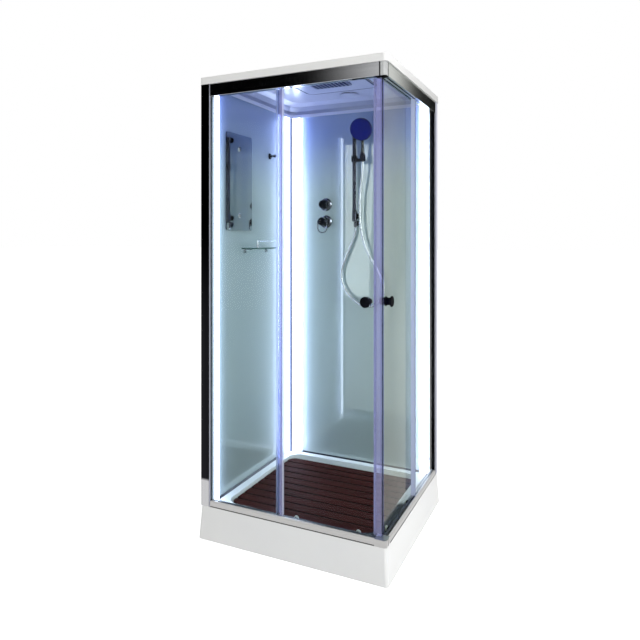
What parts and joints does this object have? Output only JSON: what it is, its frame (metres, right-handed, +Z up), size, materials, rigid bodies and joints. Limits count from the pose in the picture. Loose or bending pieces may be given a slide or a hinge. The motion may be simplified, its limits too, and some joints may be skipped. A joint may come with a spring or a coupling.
{
  "type": "corner entry shower cabin",
  "caption": "Square shower cabin: low tray, two lit glass walls, fixed panes with sliding doors meeting at a corner, domed roof with rain head, mixer and hand shower.",
  "frame": {"origin": "centre of the square plan at floor level", "axes": "+Z up, the doors meet at the +X -Y corner, the glass walls stand at -X and +Y; the front door faces -Y and the other door faces +X"},
  "size_m": [0.92, 0.92, 2.2295],
  "materials": {
    "white_acrylic": "glossy moulded",
    "galvanised_steel": "zinc coated",
    "foot_plastic": "moulded, with a zinc coated screw",
    "trap_plastic": "moulded, under a slotted metal cover",
    "dark_wood": "oiled, satin",
    "satin_aluminium": "satin anodised",
    "bright_aluminium": "polished, reflects dark and light",
    "painted_glass": "tempered, painted behind",
    "clear_glass": "tempered, clear",
    "seal_plastic": "translucent",
    "diffuser_plastic": "opal, lit from behind",
    "rain_chrome": "polished plate with rubber nozzles",
    "chrome": "polished plating",
    "brass": "cast and machined",
    "plated_plastic": "chrome plated",
    "face_plastic": "moulded",
    "grey_plastic": "moulded, satin",
    "wheel_nylon": "moulded nylon",
    "mirror_silver": "silvered glass"
  },
  "bodies": {
    "cabin": {"tray": "white_acrylic", "support_frame": "galvanised_steel", "levelling_feet": "foot_plastic", "waste_trap": "trap_plastic", "duckboard_slats": "dark_wood", "duckboard_bearers": "dark_wood", "bottom_rail_front": "satin_aluminium", "bottom_rail_right": "satin_aluminium", "bottom_rail_corner": "satin_aluminium", "top_rail_front": "bright_aluminium", "top_rail_right": "bright_aluminium", "top_rail_corner": "bright_aluminium", "post_front_left": "bright_aluminium", "post_back_left": "bright_aluminium", "post_back_right": "bright_aluminium", "head_rails": "bright_aluminium", "wall_panel_left": "painted_glass", "wall_panel_back": "painted_glass", "fixed_pane_front": "clear_glass", "fixed_pane_right": "clear_glass", "fixed_seals": "seal_plastic", "light_strips": "diffuser_plastic", "roof": "white_acrylic", "ceiling_panel": "white_acrylic", "rain_head": "rain_chrome", "water_pipes": "chrome", "fan_cover": "grey_plastic", "fan_housing": "grey_plastic", "power_unit": "grey_plastic", "mirror": "mirror_silver", "mirror_fixings": "chrome", "robe_hook": "chrome", "shelf_glass": "clear_glass", "shelf_fittings": "chrome", "mixer_valve": "brass", "wall_outlets": "chrome", "slide_bar": "chrome", "hose": "chrome"},
    "front_door": {"door_glass_front": "clear_glass", "door_seals_front": "seal_plastic", "door_fittings_front": "chrome"},
    "front_wheel_1": {"door_wheel_1_front": "wheel_nylon"},
    "front_wheel_2": {"door_wheel_2_front": "wheel_nylon"},
    "front_wheel_3": {"door_wheel_3_front": "wheel_nylon"},
    "front_wheel_4": {"door_wheel_4_front": "wheel_nylon"},
    "right_door": {"door_glass_right": "clear_glass", "door_seals_right": "seal_plastic", "door_fittings_right": "chrome"},
    "right_wheel_1": {"door_wheel_1_right": "wheel_nylon"},
    "right_wheel_2": {"door_wheel_2_right": "wheel_nylon"},
    "right_wheel_3": {"door_wheel_3_right": "wheel_nylon"},
    "right_wheel_4": {"door_wheel_4_right": "wheel_nylon"},
    "mixer_cap": {"mixer_cap": "chrome"},
    "mixer_lever": {"mixer_lever": "chrome"},
    "diverter": {"diverter_knob": "chrome"},
    "slider": {"slider": "plated_plastic"},
    "hand_holder": {"hand_holder": "plated_plastic", "hand_shower": "plated_plastic", "hand_shower_face": "face_plastic"},
    "fan_rotor": {"fan_rotor": "grey_plastic"}
  },
  "joints": [
    {"name": "front_door_slide", "type": "slide", "parent": "cabin", "child": "front_door", "axis": [-1, 0, 0], "range_m": [0, 0.33]},
    {"name": "right_door_slide", "type": "slide", "parent": "cabin", "child": "right_door", "axis": [0, 1, 0], "range_m": [0, 0.33]},
    {"name": "front_wheel_1_spin", "type": "hinge", "parent": "front_door", "child": "front_wheel_1", "pos_m": [0.026, -0.406, 0.1733], "axis": [0, -1, 0], "range_deg": [-10, 2040]},
    {"name": "front_wheel_2_spin", "type": "hinge", "parent": "front_door", "child": "front_wheel_2", "pos_m": [0.315, -0.406, 0.1733], "axis": [0, -1, 0], "range_deg": [-10, 2040]},
    {"name": "front_wheel_3_spin", "type": "hinge", "parent": "front_door", "child": "front_wheel_3", "pos_m": [0.026, -0.406, 2.0913], "axis": [0, -1, 0], "range_deg": [-10, 2040]},
    {"name": "front_wheel_4_spin", "type": "hinge", "parent": "front_door", "child": "front_wheel_4", "pos_m": [0.315, -0.406, 2.0913], "axis": [0, -1, 0], "range_deg": [-10, 2040]},
    {"name": "right_wheel_1_spin", "type": "hinge", "parent": "right_door", "child": "right_wheel_1", "pos_m": [0.406, -0.026, 0.1733], "axis": [-1, 0, 0], "range_deg": [-10, 2040]},
    {"name": "right_wheel_2_spin", "type": "hinge", "parent": "right_door", "child": "right_wheel_2", "pos_m": [0.406, -0.315, 0.1733], "axis": [-1, 0, 0], "range_deg": [-10, 2040]},
    {"name": "right_wheel_3_spin", "type": "hinge", "parent": "right_door", "child": "right_wheel_3", "pos_m": [0.406, -0.026, 2.0913], "axis": [-1, 0, 0], "range_deg": [-10, 2040]},
    {"name": "right_wheel_4_spin", "type": "hinge", "parent": "right_door", "child": "right_wheel_4", "pos_m": [0.406, -0.315, 2.0913], "axis": [-1, 0, 0], "range_deg": [-10, 2040]},
    {"name": "mixer_turn", "type": "hinge", "parent": "cabin", "child": "mixer_cap", "pos_m": [-0.182, 0.364, 1.501], "axis": [0, -1, 0], "range_deg": [-50, 50]},
    {"name": "mixer_lift", "type": "hinge", "parent": "mixer_cap", "child": "mixer_lever", "pos_m": [-0.182, 0.3642, 1.501], "axis": [-1, 0, 0], "range_deg": [0, 25]},
    {"name": "diverter_turn", "type": "hinge", "parent": "cabin", "child": "diverter", "pos_m": [-0.182, 0.384, 1.6], "axis": [0, -1, 0], "range_deg": [-45, 45]},
    {"name": "slider_slide", "type": "slide", "parent": "cabin", "child": "slider", "axis": [0, 0, 1], "range_m": [-0.26, 0.1], "deforming": ["hose"]},
    {"name": "holder_tilt", "type": "hinge", "parent": "slider", "child": "hand_holder", "pos_m": [0.062, 0.358, 1.838], "axis": [1, 0, 0], "range_deg": [-5, 25], "deforming": ["hose"]},
    {"name": "fan_spin", "type": "hinge", "parent": "cabin", "child": "fan_rotor", "pos_m": [0.027, 0.25, 2.2], "axis": [0, 0, 1], "continuous": true}
  ],
  "couplings": [
    {"joint": "front_wheel_1_spin", "follows": "front_door_slide", "rad_per_m": 107.53},
    {"joint": "front_wheel_2_spin", "follows": "front_door_slide", "rad_per_m": 107.53},
    {"joint": "front_wheel_3_spin", "follows": "front_door_slide", "rad_per_m": 107.53},
    {"joint": "front_wheel_4_spin", "follows": "front_door_slide", "rad_per_m": 107.53},
    {"joint": "right_wheel_1_spin", "follows": "right_door_slide", "rad_per_m": 107.53},
    {"joint": "right_wheel_2_spin", "follows": "right_door_slide", "rad_per_m": 107.53},
    {"joint": "right_wheel_3_spin", "follows": "right_door_slide", "rad_per_m": 107.53},
    {"joint": "right_wheel_4_spin", "follows": "right_door_slide", "rad_per_m": 107.53}
  ]
}
